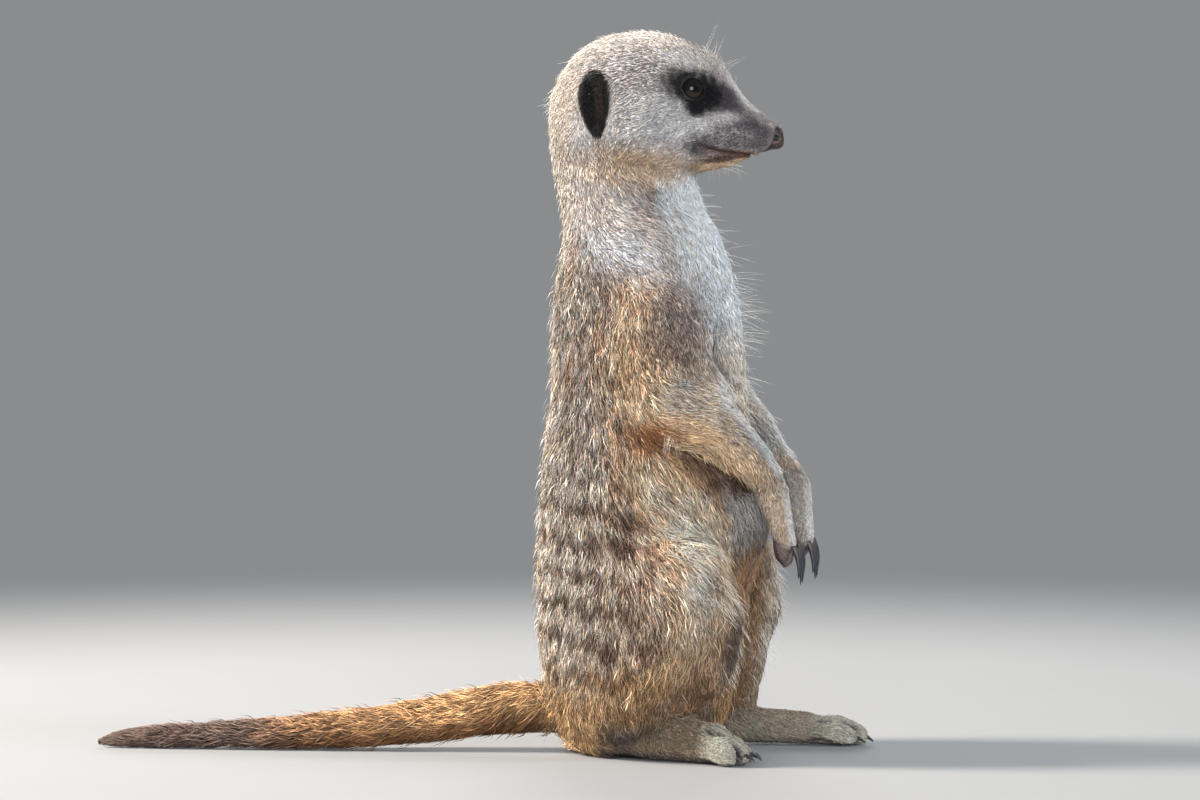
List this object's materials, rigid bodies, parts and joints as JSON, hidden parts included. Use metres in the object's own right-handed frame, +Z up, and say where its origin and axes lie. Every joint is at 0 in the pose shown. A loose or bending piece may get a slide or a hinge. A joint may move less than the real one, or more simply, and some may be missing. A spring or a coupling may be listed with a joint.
{
  "type": "meerkat",
  "caption": "Life-size still model of a meerkat sitting upright on its haunches, forepaws hanging, tail laid back along the ground.",
  "frame": {"origin": "on the floor under the middle of the haunches, at the seat face of the rump", "axes": "+X is the way the animal faces, +Y its left side, +Z up"},
  "size_m": [0.2873, 0.1004, 0.2674],
  "materials": {
    "grizzled_coat": "matte fur, grizzled brown, grey and cream",
    "pale_coat": "matte fur, pale grey and cream",
    "tawny_coat": "matte fur, golden tawny",
    "dark_coat": "matte fur, brown-black",
    "nose_leather": "moist, finely grained",
    "eye_gloss": "wet gloss",
    "claw_horn": "semi-gloss horn"
  },
  "bodies": {
    "root": {"ear_left": "dark_coat", "ear_right": "dark_coat", "eye_left": "eye_gloss", "eye_right": "eye_gloss", "fore_claw_left_1": "claw_horn", "fore_claw_left_2": "claw_horn", "fore_claw_left_3": "claw_horn", "fore_claw_left_4": "claw_horn", "fore_claw_right_1": "claw_horn", "fore_claw_right_2": "claw_horn", "fore_claw_right_3": "claw_horn", "fore_claw_right_4": "claw_horn", "forearm_left": "pale_coat", "forearm_right": "pale_coat", "forepaw_left": "pale_coat", "forepaw_right": "pale_coat", "head": "pale_coat", "hind_claw_left_1": "claw_horn", "hind_claw_left_2": "claw_horn", "hind_claw_left_3": "claw_horn", "hind_claw_left_4": "claw_horn", "hind_claw_right_1": "claw_horn", "hind_claw_right_2": "claw_horn", "hind_claw_right_3": "claw_horn", "hind_claw_right_4": "claw_horn", "hind_foot_left": "pale_coat", "hind_foot_right": "pale_coat", "jaw": "pale_coat", "neck": "pale_coat", "nose": "nose_leather", "shank_left": "pale_coat", "shank_right": "pale_coat", "tail_base": "tawny_coat", "tail_middle": "tawny_coat", "tail_tip": "dark_coat", "thigh_left": "grizzled_coat", "thigh_right": "grizzled_coat", "trunk": "grizzled_coat", "upper_arm_left": "grizzled_coat", "upper_arm_right": "grizzled_coat"}
  },
  "joints": []
}
